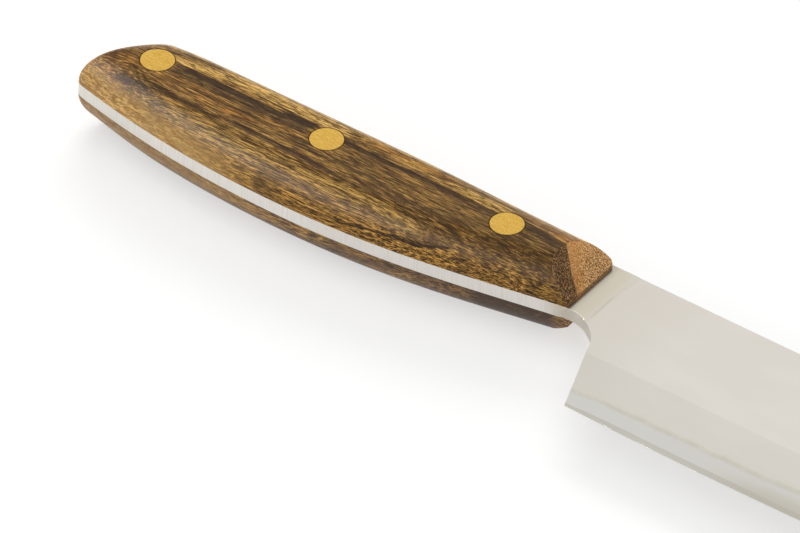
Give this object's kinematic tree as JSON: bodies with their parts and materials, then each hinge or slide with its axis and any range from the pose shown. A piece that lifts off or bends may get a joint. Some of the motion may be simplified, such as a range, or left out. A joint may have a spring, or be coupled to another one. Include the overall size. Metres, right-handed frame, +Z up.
{
  "type": "yanagiba knife",
  "caption": "Long single-bevel slicing knife with a full tang between shaped wooden scales that flush brass rivets hold.",
  "frame": {"origin": "centre of the knife's box in plan, on the surface that it lies on", "axes": "+X from the butt to the tip, +Y from the cutting edge to the spine, +Z up, away from the back face that the knife lies on"},
  "size_m": [0.4236, 0.0452, 0.0204],
  "materials": {
    "steel": "satin ground, with a darker core steel along the edge",
    "wood": "oiled, golden brown with dark streaks",
    "brass": "sanded flush"
  },
  "bodies": {
    "root": {"blade_with_tang": "steel", "right_scale": "wood", "left_scale": "wood", "rivet_front_tube": "brass", "rivet_front_pin": "brass", "rivet_middle_tube": "brass", "rivet_middle_pin": "brass", "rivet_rear_tube": "brass", "rivet_rear_pin": "brass"}
  },
  "joints": []
}
